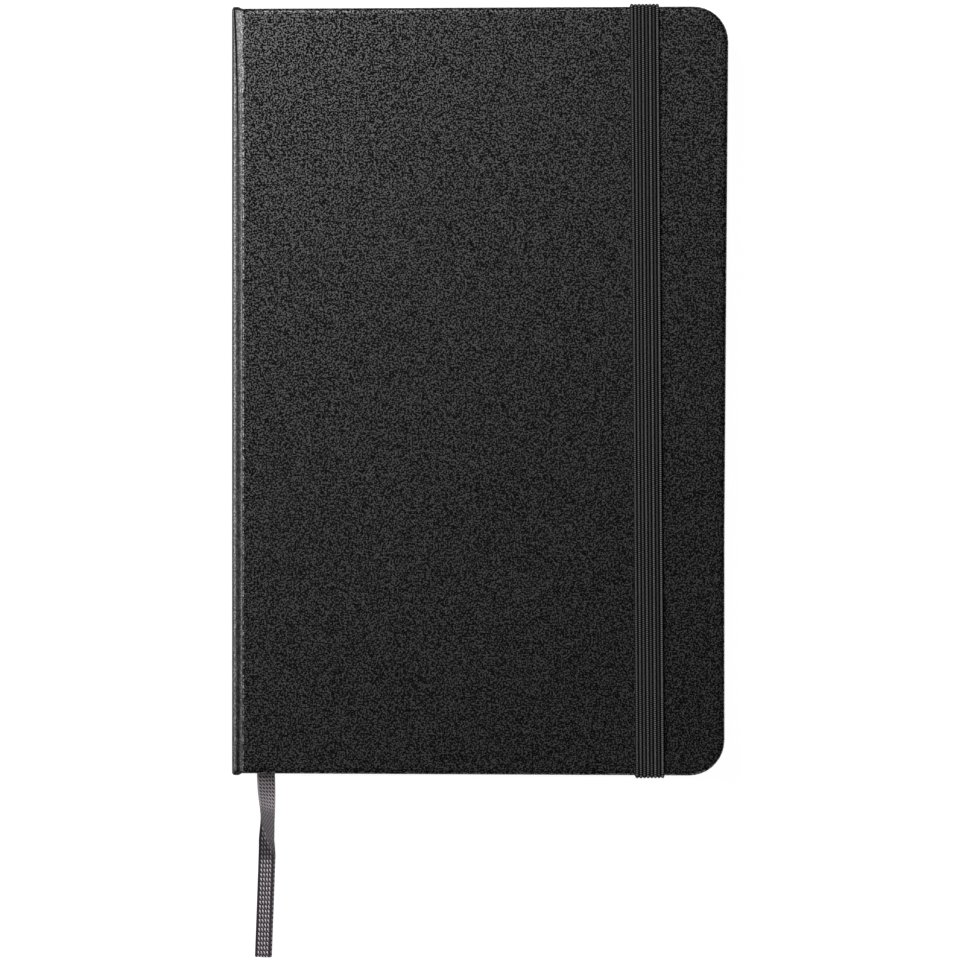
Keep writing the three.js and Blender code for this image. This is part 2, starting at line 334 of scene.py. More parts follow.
ribbon = {
    "width": 3.3,
    "thickness": 0.16,
    "columns": 12,
    "rowPitch": 0.4,
    "tiltBefore": 40,  # degrees, as it rolls over before the fold line
    "tiltAfter": -22,
    "rollFrom": -70,
    "rollTo": -79,
    "foldLeft": -79.2,  # the fold line crosses the ribbon from its left edge down to its right edge
    "foldRight": -86.1,
    "foldWidth": 1.6,
    "shadeEnd": -85.2,  # past the fold line the cloth lies in its own shade as far as here
    "shadeFade": 1.6,
    "liftOnPage": 0.16,
    "liftFrom": -72,  # the lift comes in from here back towards the page
    "aside": -0.3,  # how far the cloth hangs to the side of its route
    "asideFrom": -66,
    "ease": 4,  # the length over which each of those two comes in
    "exitPoint": 2,  # of the route, where it leaves the pages
    "teeth": 5,
    "toothLength": 0.35,
    "innerRows": 40,
    "turnY": 56,  # between the pages it has come across from the spine's head by here
}
weaveLook = {
    "ground": (0.42, 0.38, 0.405, 1),
    "rolledGround": (0.23, 0.207, 0.222, 1),
    "darkFloat": (0.04, 0.03, 0.038, 1),
    "rollDark": (0.02, 0.017, 0.02, 1),
    "rollPale": (0.13, 0.117, 0.127, 1),
    "farGround": (0.034, 0.027, 0.034, 1),
    "floatEnd": (0.33, 0.288, 0.34, 1),
    "paleFloat": (0.84, 0.79, 0.78, 1),
    "selvedge": (0.27, 0.235, 0.28, 1),
    "shade": (0.016, 0.013, 0.016, 1),
    "shadeShare": 0.72,
    "columnStart": 1.32,  # the columns of floats, across the ribbon
    "columnPitch": 0.575,
    "darkPitch": 0.72,  # the rows of floats, along it
    "palePitch": 0.84,
    "selvedgePitch": 0.134,
}
# The free length's route, the same as its solid's.
ribbonRoute = [
    (-38.74, -60.3, 6.58),
    (-38.7, -64, 6.58),
    (-38.7, -67.5, 6.56),
    (-38.69, -70, 6.4),
    (-38.66, -72, 5.95),
    (-38.6, -74, 5.1),
    (-38.54, -76, 4.0),
    (-38.5, -78, 2.85),
    (-38.52, -80, 1.85),
    (-38.56, -82, 1.2),
    (-38.6, -84, 0.88),
    (-38.66, -86, 0.75),
    (-38.76, -89, 0.7),
    (-38.9, -93, 0.7),
    (-39.1, -98.4, 0.7),
    (-39.3, -103.9, 0.7),
]


def ribbonMaterial():
    look = weaveLook
    m = Material("wovenRibbon")
    uv = m.add("ShaderNodeUVMap", {"uv_map": "weave"})
    across, along, _ = m.axes(uv)  # both in millimetres
    side = ((across + look["columnStart"]) / look["columnPitch"]).fraction() - 0.5
    isColumn = across.step(-1.38, -1.26) * across.step(1.08, 0.94)
    rolled = m.attribute("rolled")
    # Before the fold: a grey ground with leaning dark floats.
    ground = m.mixColours(rolled, look["ground"], look["rolledGround"])
    row = (along / look["darkPitch"] - 0.6 * side).fraction() - 0.5
    floats = row.size().step(0.4, 0.18) * side.size().step(0.5, 0.32) * across.step(-1.42, -1.25)
    before = m.mixColours(floats, ground, look["darkFloat"])
    # On the roll the floats close up to a herringbone.
    cross = ((along / 0.09).sine() * ((across / 0.19 + along / 0.35).sine())).size()
    herringbone = m.mixColours(cross.step(0.2, 0.75), look["rollDark"], look["rollPale"])
    before = m.mixColours(rolled.step(0.7, 1) * 0.9, before, herringbone)
    # Past the fold: a dark ground with leaning pale floats, each with a greyer end.
    row = (along / look["palePitch"] - 0.5 * side).fraction()
    ends = (row - 0.72).size().step(0.26, 0.08) * (side - 0.14).size().step(0.34, 0.1)
    pale = (row - 0.45).size().step(0.3, 0.12) * (side + 0.02).size().step(0.33, 0.1)
    after = m.mixColours(ends * isColumn, look["farGround"], look["floatEnd"])
    after = m.mixColours(pale * isColumn, after, look["paleFloat"])
    selvedge = across.step(1.25, 1.5) * ((along / look["selvedgePitch"]).sine().step(-0.8, 0.4))
    after = m.mixColours(selvedge, after, look["selvedge"])
    colour = m.mixColours(m.attribute("turned"), before, after)
    colour = m.mixColours(m.attribute("shaded") * look["shadeShare"], colour, look["shade"])
    sockets = {
        "Base Color": colour,
        "Roughness": 0.55,
        "Specular IOR Level": 0.35,
        "Sheen Weight": 0.1,
        "Sheen Roughness": 0.4,
        "Normal": m.bump(pale - floats + 0.4 * cross, 0.04, 0.7),
    }
    return m.finish(sockets)


# Points along a smooth curve through a route's points.
def smoothRoute(route, pitch):
    points = [Vector(point) for point in route]
    points = [2 * points[0] - points[1]] + points + [2 * points[-1] - points[-2]]
    result = []
    for before, start, end, after in zip(points, points[1:], points[2:], points[3:]):
        steps = max(2, round((end - start).length / pitch))
        for step in range(steps):
            t = step / steps
            result.append(
                0.5
                * (
                    2 * start
                    + (end - before) * t
                    + (2 * before - 5 * start + 4 * end - after) * t * t
                    + (3 * start - before - 3 * end + after) * t * t * t
                )
            )
    result.append(points[-2])
    return result


# How far the ribbon has turned at a place: 0 before its fold line, 1 after it.
def ribbonTurned(share, y):
    foldY = lerp(ribbon["foldLeft"], ribbon["foldRight"], share)
    return smooth((foldY - y) / ribbon["foldWidth"] + 0.5)


def ribbonRolled(y):
    return smooth((ribbon["rollFrom"] - y) / (ribbon["rollFrom"] - ribbon["rollTo"]))


# How deep in the shade of the fold a place is.
def ribbonShaded(share, y):
    return ribbonTurned(share, y) * (1 - smooth((ribbon["shadeEnd"] - y) / ribbon["shadeFade"]))


# One row across the flat ribbon, as points (sideways, up) from its middle.
def flatRow():
    columns = ribbon["columns"]
    return [Vector(((column / columns - 0.5) * ribbon["width"], 0)) for column in range(columns + 1)]


# The same where it rolls over: the row bends, and keeps its width.
def rolledRow(y):
    columns = ribbon["columns"]
    step = ribbon["width"] / columns
    row = [Vector((0, 0))]
    for column in range(columns):
        share = (column + 0.5) / columns
        before = ribbon["tiltBefore"] * ribbonRolled(y)
        tilt = math.radians(lerp(before, ribbon["tiltAfter"], ribbonTurned(share, y)))
        row.append(row[-1] + Vector((math.cos(tilt), math.sin(tilt))) * step)
    middle = row[columns // 2]
    return [point - middle for point in row]


def ribbonPiece(name, route, material, isTail):
    columns = ribbon["columns"]
    half = ribbon["thickness"] / 2
    places = smoothRoute(route, ribbon["rowPitch"])
    count = 2 * (columns + 1)
    points, weave = [], []
    looks = {"turned": [], "rolled": [], "shaded": []}
    travelled = 0
    for index, place in enumerate(places):
        along = (places[min(index + 1, len(places) - 1)] - places[max(index - 1, 0)]).normalized()
        travelled += (place - places[max(index - 1, 0)]).length
        sideways = Vector((-along.y, along.x, 0)).normalized() if isTail else Vector((1, 0, 0))
        up = sideways.cross(along).normalized()
        if up.z < 0:
            up.negate()
        row = rolledRow(place.y) if isTail else flatRow()
        isLast = isTail and index == len(places) - 1
        top, bottom = [], []
        for column, flat in enumerate(row):
            tooth = (column / columns * ribbon["teeth"]) % 1
            reach = ribbon["toothLength"] * (0.5 - abs(tooth - 0.5)) if isLast else 0
            spot = place + sideways * flat.x + up * flat.y + along * reach
            after = row[min(column + 1, columns)] - row[max(column - 1, 0)]
            lean = (sideways * -after.y + up * after.x).normalized() * half
            top.append(spot + lean)
            bottom.append(spot - lean)
        points += top + bottom[::-1]
        shares = [column / columns for column in range(columns + 1)]
        for share in shares + shares[::-1]:
            weave.append(((share - 0.5) * ribbon["width"], travelled))
            looks["turned"].append(ribbonTurned(share, place.y) if isTail else 0)
            looks["rolled"].append(ribbonRolled(place.y) if isTail else 0)
            looks["shaded"].append(ribbonShaded(share, place.y) if isTail else 0)
    piece = meshPiece(name, points, stripFaces(0, len(places), count), material, 60)
    layer = piece.data.uv_layers.new(name="weave")
    for loop in piece.data.loops:
        layer.data[loop.index].uv = weave[loop.vertex_index]
    for label, values in looks.items():
        storeValues(piece, label, values)
    return outward(piece)


# Turns a closed piece's faces outwards.
def outward(piece):
    work = bmesh.new()
    work.from_mesh(piece.data)
    bmesh.ops.recalc_face_normals(work, faces=work.faces)
    work.to_mesh(piece.data)
    work.free()
    return piece


def makeRibbon():
    material = ribbonMaterial()
    lift = ribbon["liftOnPage"]
    lifted = []
    for x, y, z in ribbonRoute:
        aside = ribbon["aside"] * smooth((ribbon["asideFrom"] - y) / ribbon["ease"])
        lifted.append((x + aside, y, z + lift * smooth((y - ribbon["liftFrom"]) / ribbon["ease"])))
    tail = ribbonPiece("ribbon_tail_woven", lifted, material, True)
    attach(tail, "back_half")
    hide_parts("ribbon_tail")
    innerLow, innerHigh = boxOf("ribbon_marker")
    first, second = ribbonRoute[:2]
    headX = innerLow.x + ribbon["width"] / 2
    pageZ = openZ - ribbon["thickness"] / 2 + lift / 2
    inner = []
    for step in range(ribbon["innerRows"]):
        rowY = lerp(innerHigh.y, first[1], step / ribbon["innerRows"])
        share = smooth((innerHigh.y - rowY) / (innerHigh.y - ribbon["turnY"]))
        inner.append((lerp(headX, second[0], share), rowY, pageZ))
    inner.append((first[0], first[1], first[2] + lift))
    marker = ribbonPiece("ribbon_marker_woven", inner, material, False)
    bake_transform(marker)
    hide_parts("ribbon_marker")
    print("ribbon made")


# A stretch beside the leaves' folds, between their cover and the spine; the leaves' meshes have closer
# columns over it.
leafBend = {
    "start": Vector((-41, 0, openZ)) * mm,
    "end": Vector((foldX, 0, openZ)) * mm,
}
makeRibbon()


case = {
    "skin": 0.28,
    "board": 1.84,  # from a cover's outer face to its turned-in edges
    "cornerRadius": 6.5,
    "cornerSteps": 9,
    "rowPitch": 4.9,
    "columnStart": 24,  # evenly spaced columns from here towards the spine
    "columnPitch": 6.5,
    "columnCount": 11,
    "turnIn": 12,
    "capRise": 0.36,  # the spine stands proud of the covers by this, at head and tail
    "capFrom": 0.2,  # from the shoulder
    "capEase": 0.9,
    "spineWall": 1.0,
    "spineBulge": 0.27,
    "squareUntil": 4,  # from the spine; past it the front cover is a little large and out of square
    "wider": 0.14,
    "headWider": 0.0078,
    "leastWider": -0.06,
    "taller": 0.0016,
    "foreTaller": 0.00007,
    "edgePolish": 0.38,  # how polished the edges and the spine are beside the flat faces
    "polishDepth": 0.35,  # that change starts at this depth, and ends this much deeper
    "polishEase": 0.5,
    "pressed": 0.56,  # how far the grain is pressed flat in the joint and on the spine
    "pressEase": 0.4,
    "weld": 0.002,
}
# The joint beside the spine. Three numbers are values at the head, the middle and the tail.
joint = {
    "endPower": 6,  # how closely the head's and the tail's values keep to the ends
    "lead": 0.3,  # from the last flat column to the shoulder
    "shoulderX": -42.95,
    "roundShare": (0.5, 0.34, 0.4),  # of the slope that starts at the shoulder
    "slopeEnd": (-44.4, -43.36, -43.46),
    "valleyX": (-44.56, -43.84, -43.86),
    "valleyDepth": (0.72, 0.34, 0.42),
    "ridgeDepth": (0.46, 0.34, 0.36),
    "ridgeX": (-44.85, -44.1, -44.16),
    "roundDepth": (0.8, 0.48, 0.46),
    "lip": 0.06,  # the slope ends this far above the valley's floor
    "thicker": (0.25, 0.75),  # the case's wall grows by this, at the joint and at the spine
    "thickenBy": 1 / 3,  # the share of the way to the spine over which it does
    "steps": 6,
    "bendStart": -43.5,
    "bendEnd": -43.97,
}
elastic = {
    "width": 5.3,
    "slant": 1 / 140,
    "thickness": 0.74,
    "ribs": 8,
    "slitY": 61.6,
    "tabLength": 11,
    "cornerRadius": 0.42,
    "cornerSteps": 5,
    "pitch": 1.2,
    "channelDepth": 0.85,
    "channelMargin": 0.4,
    "channelSlope": 0.2,
    "channelEnd": 60.85,
    "channelEndSlope": 0.3,
    "webThickness": 0.3,
    "tabZ": 1.42,
    "floorGap": 0.03,
    "mostTurn": 0.45,  # the share of a straight run that a corner may take
    "overlap": 1.02,  # a rib's width beside the ribs' pitch
    "beadPitch": 0.37,
    # dark: painted shade on the ribs' flanks and in the grooves; pale: a painted highlight on their crests
    "dark": (0.002, 0.002, 0.002, 1),
    "pale": (0.2, 0.2, 0.203, 1),
}
bandMiddle = (bandLow.x + bandHigh.x) / 2


def bandX(y):
    return bandMiddle - y * elastic["slant"]


def alongSpine(key, y):
    head, middle, tail = joint[key]
    return lerp(middle, head if y > 0 else tail, min(1, abs(y) / headY) ** joint["endPower"])


# Half of the case's section at one height, from the fore-edge to the middle of the spine: pairs of
# a point on the skin and one inside the cover, each as x and a depth from the cover's outer face.
def caseSection(y):
    board = case["board"]
    steps = joint["steps"]
    shoulderX = joint["shoulderX"]
    wallX = spineX + case["spineWall"]
    middle = bandX(y)
    outside = elastic["width"] / 2 + elastic["channelMargin"]
    inside = outside - elastic["channelSlope"]
    flat = [foreX - case["cornerRadius"]]
    flat += [middle + aside for aside in (outside, inside, 0, -inside, -outside)]
    flat += [case["columnStart"] - case["columnPitch"] * column for column in range(case["columnCount"])]
    flat += [shoulderX + joint["lead"]]
    section = [((x, 0), (x, board)) for x in flat]
    slopeX, valleyX, ridgeX = [alongSpine(key, y) for key in ("slopeEnd", "valleyX", "ridgeX")]
    valleyDepth, ridgeDepth = alongSpine("valleyDepth", y), alongSpine("ridgeDepth", y)
    rounded = alongSpine("roundShare", y)
    slopeDepth = valleyDepth - joint["lip"]
    bottom = ridgeDepth + alongSpine("roundDepth", y)
    outer = []
    # the rounded shoulder and a straight slope
    for step in range(steps + 1):
        t = step / steps
        fall = t * t / (2 * rounded) if t < rounded else t - rounded / 2
        outer.append((lerp(shoulderX, slopeX, t), slopeDepth * fall / (1 - rounded / 2)))
    # the valley's floor
    for step in range(1, steps):
        t = step / steps
        outer.append((lerp(slopeX, valleyX, t), lerp(slopeDepth, valleyDepth, math.sin(t * math.pi / 2))))
    # the rise to the ridge
    for step in range(steps):
        t = step / steps
        outer.append((lerp(valleyX, ridgeX, t), lerp(valleyDepth, ridgeDepth, smooth(t))))
    # the round to the spine's wall
    for step in range(steps + 1):
        angle = step / steps * math.pi / 2
        outer.append((lerp(ridgeX, spineX, math.sin(angle)), lerp(bottom, ridgeDepth, math.cos(angle))))
    for x, depth in outer:
        share = min(max((joint["bendStart"] - x) / (joint["bendStart"] - spineX), 0), 1)
        innerDepth = board + lerp(*joint["thicker"], share) * smooth(share / joint["thickenBy"])
        section.append(((x, depth), (max(x, wallX), innerDepth)))
    # half of the wall, which bulges a little
    wallDepth = section[-1][1][1]
    for step in range(1, steps):
        t = step / (steps - 1)
        bulge = case["spineBulge"] * math.sin(math.pi / 2 * t)
        wall = (wallX, lerp(wallDepth, topZ / 2, t))
        section.append(((spineX - bulge, lerp(bottom, topZ / 2, t)), wall))
    return section


# The rounded and turned-in edge: how far inside the outline, and how deep.
def edgeRings():
    board = case["board"]
    rings = [(case["cornerRadius"], 0), (4.4, 0), (2.4, 0), (1.2, 0), (0.62, 0), (0.44, 0.025)]
    rings += [(0.22, 0.12), (0.07, 0.28), (0, 0.5), (0, board - 0.62), (0.05, board - 0.38)]
    rings += [(0.2, board - 0.19), (0.45, board - 0.06), (0.8, board), (2.6, board), (7, board)]
    return rings + [(case["turnIn"], board)]


# The pressed channel where the elastic's ends lie along the back.
def channelDepth(x, y):
    half = elastic["width"] / 2 + elastic["channelMargin"]
    across = smooth((half - abs(x - bandX(y))) / elastic["channelSlope"])
    along = smooth((abs(y) - elastic["channelEnd"]) / elastic["channelEndSlope"])
    return elastic["channelDepth"] * across * along


def caseSheet(name, isFront, material):
    radius = case["cornerRadius"]
    board = case["board"]
    innerY = headY - radius
    count = round(2 * innerY / case["rowPitch"])
    rows = [innerY - 2 * innerY * row / count for row in range(count + 1)]
    channelRows = [elastic["channelEnd"], elastic["channelEnd"] + elastic["channelEndSlope"]]
    rows += channelRows + [-y for y in channelRows]
    rows.sort(reverse=True)

    def place(x, y, depth):
        if isFront:
            wider = max(case["wider"] + case["headWider"] * y, case["leastWider"])
            y *= 1 + case["taller"] + case["foreTaller"] * x
            x += wider * smooth((x - spineX - case["squareUntil"]) / (foreX - spineX))
        elif depth < board / 2:
            depth = max(depth, channelDepth(x, y))
        return Vector((x, y, topZ - depth if isFront else depth)) * mm

    def onEdge(index, side, inset, depth):
        y = side * (headY - inset)
        outer, inner = caseSection(y)[index]
        share = depth / board
        rise = case["capRise"] * smooth((joint["shoulderX"] - case["capFrom"] - outer[0]) / case["capEase"])
        y += side * rise * max(0, 1 - inset / radius)
        return place(lerp(outer[0], inner[0], share), y, lerp(outer[1], inner[1], share))

    work = bmesh.new()

    def strip(lines):
        vertices = [[work.verts.new(point) for point in line] for line in lines]
        for first, second in zip(vertices, vertices[1:]):
            for a, b, c, d in zip(first, first[1:], second[1:], second):
                work.faces.new((a, b, c, d))

    strip([[place(outer[0], y, outer[1]) for outer, _ in caseSection(y)] for y in rows])
    stations = range(len(caseSection(0)))
    angles = [math.pi / 2 * step / case["cornerSteps"] for step in range(1, case["cornerSteps"])]
    rings = []
    for inset, depth in edgeRings():
        ring = [onEdge(index, 1, inset, depth) for index in reversed(stations)]
        reach = max(radius - inset, 0)
        centreX = foreX - max(radius, inset)
        centreY = headY - max(radius, inset)
        for side in (1, -1):
            turn = [(math.sin(angle), math.cos(angle)) for angle in angles]
            corner = [place(centreX + a * reach, side * (centreY + b * reach), depth) for a, b in turn]
            ring += corner if side == 1 else corner[::-1]
            if side == 1:
                limit = min(innerY, centreY)
                ring += [place(foreX - inset, min(max(y, -limit), limit), depth) for y in rows]
        rings.append(ring + [onEdge(index, -1, inset, depth) for index in stations])
    strip(rings)
    bmesh.ops.remove_doubles(work, verts=work.verts, dist=case["weld"] * mm)
    bmesh.ops.dissolve_degenerate(work, edges=work.edges, dist=case["weld"] / 2 * mm)
    work.normal_update()
    work.faces.ensure_lookup_table()
    if (work.faces[0].normal.z > 0) != isFront:
        bmesh.ops.reverse_faces(work, faces=work.faces)
    mesh = bpy.data.meshes.new(name)
    work.to_mesh(mesh)
    work.free()
    sheet = linkObject(name + "_open", mesh)
    wall = sheet.modifiers.new("wall", "SOLIDIFY")
    wall.thickness = case["skin"] * mm
    wall.offset = -1
    piece = sharpened(baked(name, sheet, material), 50)
    polish, pressed = [], []
    for vertex in piece.data.vertices:
        x, _, z = vertex.co / mm
        depth = topZ - z if isFront else z
        polish.append(lerp(1, case["edgePolish"], smooth((depth - case["polishDepth"]) / case["polishEase"])))
        pressed.append(case["pressed"] * smooth((joint["shoulderX"] - x) / case["pressEase"]))
    storeValues(piece, "polish", polish)
    storeValues(piece, "pressed", pressed)
    return piece


leatherLook = {
    "hollow": (0.0005, 0.0005, 0.0005, 1),
    # the ridges' paler colour is partly the grain's own and partly a painted highlight
    "ridgeAndPaintedHighlight": (0.018, 0.0178, 0.018, 1),
    "grainScale": 3.6,
    "pressedPolish": 0.47,
    "roughness": 0.5,
    "patchiness": 0.14,
    "coatRoughness": 0.3,
    "coatIndex": 2.1,
}


def leatherMaterial():
    look = leatherLook
    m = Material("blackLeatherette")
    place = m.place()
    grain = m.noise(place, look["grainScale"], 0.6, 0.6, 0.3).step(0.48, 0.62)
    patches = m.noise(place, 0.05, 3, 0.55)
    creases = m.noise(place, 0.16, 2)
    # The ridges of the grain are polished and its hollows are matt, less so where it is pressed flat.
    ridges = grain + (look["pressedPolish"] - grain) * m.attribute("pressed")
    sockets = {
        # paler on the grain's ridges: partly the grain's own colour, partly a painted highlight
        "Base Color": m.mixColours(grain, look["hollow"], look["ridgeAndPaintedHighlight"]),
        "Roughness": look["roughness"] + look["patchiness"] * (patches - 0.5),
        "Specular IOR Level": 0.06,
        "Coat Weight": ridges * m.attribute("polish"),
        "Coat Roughness": look["coatRoughness"],
        "Coat IOR": look["coatIndex"],
        "Normal": m.bump(grain, 0.03, 1, m.bump(creases, 0.2, 0.3)),
    }
    return m.finish(sockets)


boards = {
    "gap": 0.03,  # to the skin
    "jointGap": 0.1,
    "slack": 0.02,
    "level": 0.01,  # an edge that climbs less than this is flat, and is softened
    "softness": 0.18,
    "dark": (0.17, 0.15, 0.125, 1),
    "pale": (0.33, 0.3, 0.26, 1),
    "roughness": 0.9,
}


def boardMaterial():
    m = Material("greyBoard")
    fibres = m.noise(m.stretched(m.place(), (0.5, 3, 3)), 2.5, 4, 0.7)
    return m.finishPlain(fibres.step(0.3, 0.7), boards, m.bump(fibres, 0.05, 0.5))


# Square corners at x0 and round ones at x1.
def coverOutline(x0, x1, halfHeight, radius, steps=8):
    outline = [(x0, -halfHeight)]
    for side in (-1, 1):
        for step in range(steps + 1):
            angle = math.pi / 2 * (step / steps if side == 1 else step / steps - 1)
            x = x1 - radius + radius * math.cos(angle)
            outline.append((x, side * (halfHeight - radius) + radius * math.sin(angle)))
    return outline + [(x0, halfHeight)]


# A flat board of any outline with softened edges.
def boardPiece(name, outline, z0, z1, softness, material):
    work = bmesh.new()
    face = work.faces.new([work.verts.new(Vector((x, y, z0)) * mm) for x, y in outline])
    lifted = bmesh.ops.extrude_face_region(work, geom=[face])["geom"]
    risen = [item for item in lifted if isinstance(item, bmesh.types.BMVert)]
    bmesh.ops.translate(work, verts=risen, vec=(0, 0, (z1 - z0) * mm))
    level = boards["level"] * mm
    flat = [edge for edge in work.edges if abs(edge.verts[0].co.z - edge.verts[1].co.z) < level]
    bmesh.ops.bevel(work, geom=flat, offset=softness * mm, segments=2, affect="EDGES", profile=0.5)
    bmesh.ops.recalc_face_normals(work, faces=work.faces)
    mesh = bpy.data.meshes.new(name)
    work.to_mesh(mesh)
    work.free()
    mesh.materials.append(material)
    return sharpened(linkObject(name, mesh), 30)


def makeCase():
    leather = leatherMaterial()
    front = caseSheet("front_case_leatherette", True, leather)
    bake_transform(front)
    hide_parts("front_cover_wrap", "spine_wrap")
    back = caseSheet("back_case_leatherette", False, leather)
    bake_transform(back)
    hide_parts("back_cover_wrap")
    grey = boardMaterial()
    inset = case["skin"] + boards["gap"]
    startX = joint["bendStart"] + boards["jointGap"]
    outline = coverOutline(startX, foreX - inset, headY - inset, case["cornerRadius"] - inset)
    for side in ("front", "back"):
        low, high = boxOf(side + "_board")
        bottom, top = low.z + boards["slack"], high.z - boards["slack"]
        board = boardPiece(side + "_board_grey", outline, bottom, top, boards["softness"], grey)
        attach(board, side + "_half")
        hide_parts(side + "_board")
    print("case made")


makeCase()


leaves = {
    "perSignature": 4,  # folded sheets nested in each signature
    "cornerRadius": 4.6,
    "cornerAngles": (90, 72, 54, 36, 18, 0),
    "columns": (10, -25),  # between its round corners and the bend
    "bendLead": 0.2,
    "foldSteps": 8,
    "fill": 0.83,  # a sheet's share of the space it has
    "unevenness": 0.05,
    "shift": 0.03,
    "seed": 7,
    "linePitch": 6,
    "lineWidth": (0.018, 0.01),
    "lineEnds": (41.2, 40.9),
    "lineRows": (59, 58.8),
    "lineShift": 1,
    "lineShare": 0.45,
    "dark": (0.64, 0.6, 0.5, 1),
    "pale": (0.79, 0.755, 0.66, 1),
    "fibre": (0.6, 0.54, 0.42, 1),
    "line": (0.42, 0.43, 0.45, 1),
}


def paperMaterial():
    m = Material("ivoryPaper")
    place = m.place()
    _, y, _ = m.axes(place)
    fibres = m.noise(place, 1.6, 4, 0.65)
    tones = m.noise(m.stretched(place, (0, 0, 3.2)), 1, 2, 0.6)
    colour = m.mixColours(tones.step(0.3, 0.7), leaves["dark"], leaves["pale"])
    colour = m.mixColours(0.12 * fibres, colour, leaves["fibre"])
    nearest = ((y / leaves["linePitch"]).fraction() - 0.5).size()
    isPrinted = (y - leaves["lineShift"]).size().step(*leaves["lineRows"])
    isPrinted *= m.attribute("across").size().step(*leaves["lineEnds"])
    rule = nearest.step(*leaves["lineWidth"]) * isPrinted
    colour = m.mixColours(leaves["lineShare"] * rule, colour, leaves["line"])
    sockets = {
        "Base Color": colour,
        "Roughness": 0.85,
        "Specular IOR Level": 0.3,
        "Normal": m.bump(tones + 0.2 * fibres, 0.05, 0.6),
    }
    return m.finish(sockets)


# One signature of nested folded sheets, with its middle at the height zero.
def signatureMesh(material):
    chance = random.Random(leaves["seed"])
    sheets = leaves["perSignature"]
    pitch = signaturePitch / (2 * sheets)
    thickness = pitch * leaves["fill"]
    centreX = foldX + (sheets - 0.5) * pitch + thickness / 2
    radius = leaves["cornerRadius"]
    cornerX = leafForeX - radius
    bendX = leafBend["start"].x / mm
    folds = leaves["foldSteps"]
    runs = [cornerX + radius * math.sin(math.radians(angle)) for angle in leaves["cornerAngles"]]
    runs += [*leaves["columns"], bendX + leaves["bendLead"]]
    runs += [lerp(bendX, centreX, step / folds) for step in range(folds)]
    points, faces, across = [], [], []
    angles = [math.pi * step / folds for step in range(folds + 1)]
    for sheet in range(sheets):
        r = (sheet + 0.5) * pitch
        upper = [(x, r) for x in runs]
        fold = [(centreX - r * math.sin(angle), r * math.cos(angle)) for angle in angles]
        lower = [(x, -r) for x in reversed(runs)]
        path = upper + fold + lower
        short = [chance.uniform(0, leaves["unevenness"]) for _ in range(4)]  # two for each leaf
        start = len(points)
        for index, sides in enumerate(sidesOf(path, thickness)):
            isUpper = index < len(path) / 2
            trimX, trimY = (short[0], short[1]) if isUpper else (short[2], short[3])
            beyond = max(path[index][0] - cornerX, 0)
            half = leafHalf - trimY - radius + math.sqrt(max(radius * radius - beyond * beyond, 0))
            outside, inside = [(min(a, leafForeX - trimX), b) for a, b in sides]
            points += [(outside[0], half, outside[1]), (outside[0], -half, outside[1])]
            points += [(inside[0], -half, inside[1]), (inside[0], half, inside[1])]
            across += [path[index][0]] * 4
        faces += stripFaces(start, len(path))
    signature = outward(meshPiece("signature", points, faces, material, 30))
    storeValues(signature, "across", across)
    return signature


def stackTree():
    inputs = {
        "Signature": "NodeSocketObject",
        "Count": "NodeSocketInt",
        "Pitch": "NodeSocketFloat",
        "Bottom": "NodeSocketFloat",
        "Shift": "NodeSocketFloat",
        "Seed": "NodeSocketInt",
        "Paper": "NodeSocketMaterial",
    }
    graph, given = geometryTree("signatureStack", inputs)
    line = graph.line(given["Count"], graph.vector(Z=given["Bottom"]), graph.vector(Z=given["Pitch"]))
    signature = graph.add("GeometryNodeObjectInfo", None, {"Object": given["Signature"]}, "Geometry")
    stack = graph.add("GeometryNodeInstanceOnPoints", None, {"Points": line, "Instance": signature})
    least = graph.vector(X=-1 * given["Shift"], Y=-1 * given["Shift"])
    sockets = {"Min": least, "Max": graph.vector(Y=given["Shift"]), "Seed": given["Seed"]}
    shift = graph.add("FunctionNodeRandomValue", {"data_type": "FLOAT_VECTOR"}, sockets)
    shifted = graph.add("GeometryNodeTranslateInstances", None, {"Instances": stack, "Translation": shift})
    return graph.finishGeometry(shifted, given["Paper"])


def makeLeaves():
    paper = paperMaterial()
    signature = signatureMesh(paper)
    graph = stackTree()
    half = signatureCount // 2
    for side, bottom, numbers in (
        ("front", openZ, range(1, half + 1)),
        ("back", lastLow.z, range(half + 1, signatureCount + 1)),
    ):
        host = linkObject(side + "_stack", bpy.data.meshes.new(side + "_stack"))
        values = {
            "Signature": signature,
            "Count": half,
            "Pitch": signaturePitch * mm,
            "Bottom": (bottom + signaturePitch / 2) * mm,
            "Shift": leaves["shift"] * mm,
            "Seed": leaves["seed"],
            "Paper": paper,
        }
        useTree(host, graph, values)
        block = sharpened(baked(side + "_leaves", host), 30)
        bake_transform(block)
        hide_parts(*[f"signature_{number:02d}" for number in numbers])
    bpy.data.objects.remove(signature)
    print("leaves made")


makeLeaves()


def elasticMaterial():
    m = Material("ribbedElastic")
    along = m.attribute("along") * (1 / mm)
    rib = m.attribute("rib")
    crest = m.attribute("crest")
    beads = ((along / elastic["beadPitch"] + 0.5 * rib) * (2 * math.pi)).sine()
    fuzz = m.noise(m.place(), 6, 2)
    # The pale colour on each rib's crest, beaded along it, is a painted highlight, and the dark on its flanks
    # and in the grooves is painted shade. Odd ribs are paler and even ones darker, more so the higher their
    # number.
    paintedHighlightStrength = 0.64 - 0.045 * rib * (math.pi * rib + math.pi / 2).sine()
    share = crest.step(0.37, 0.5) * beads.step(-0.9, 0.9) * paintedHighlightStrength + 0.1 * (fuzz - 0.5)
    sockets = {
        "Base Color": m.mixColours(share, elastic["dark"], elastic["pale"]),
        "Roughness": 0.5,
        "Specular IOR Level": 0.1,
        "Normal": m.bump(beads * 0.5 + fuzz * 0.3, 0.09, 0.8),
    }
    return m.finish(sockets)


